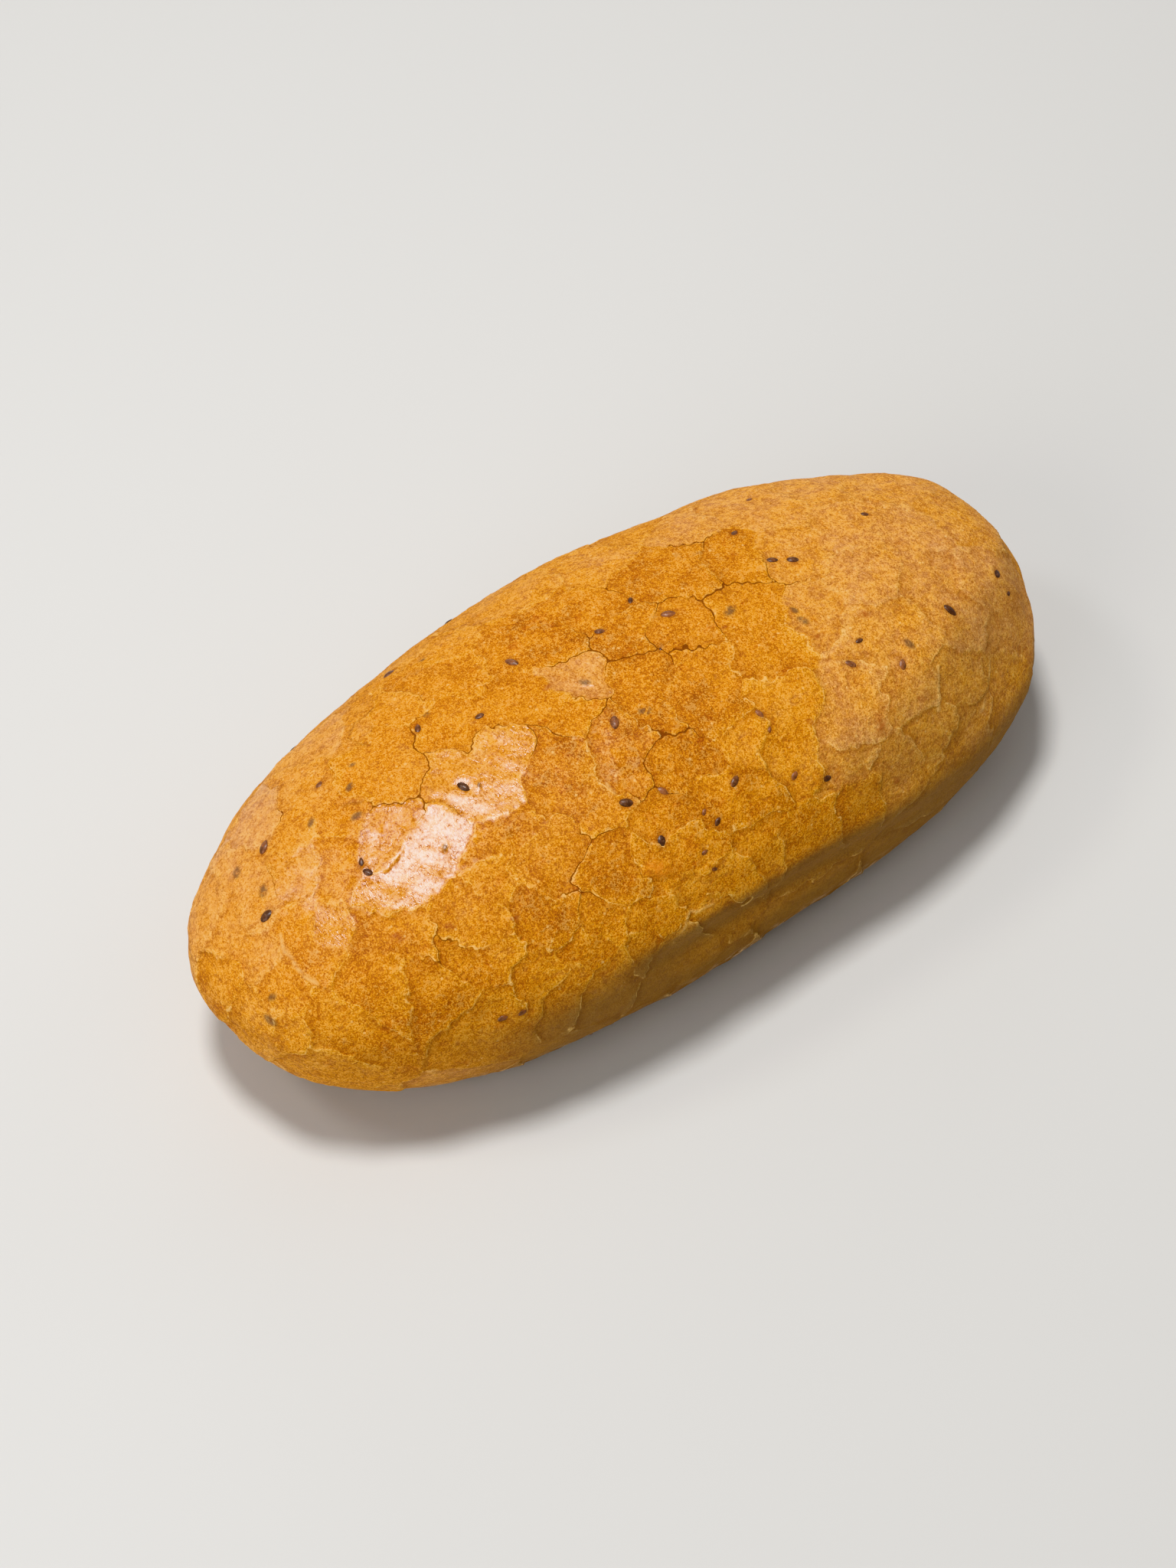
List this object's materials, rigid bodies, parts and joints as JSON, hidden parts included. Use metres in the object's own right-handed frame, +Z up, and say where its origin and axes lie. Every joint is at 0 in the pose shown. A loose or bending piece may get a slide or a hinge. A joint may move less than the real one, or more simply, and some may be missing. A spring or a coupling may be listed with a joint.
{
  "type": "bread loaf",
  "caption": "Oval free-standing wheat-rye bread loaf with a glossy golden crackled crust, dark seeds and a flat sole.",
  "frame": {"origin": "on the ground, at the middle of the loaf's box seen from above", "axes": "+X along the loaf towards its blunter end, -Y towards the side with the long crease, +Z up"},
  "size_m": [0.3028, 0.1388, 0.0902],
  "materials": {
    "crust": "satin",
    "seeds": "satin"
  },
  "bodies": {
    "root": {"loaf": "crust"}
  },
  "joints": []
}
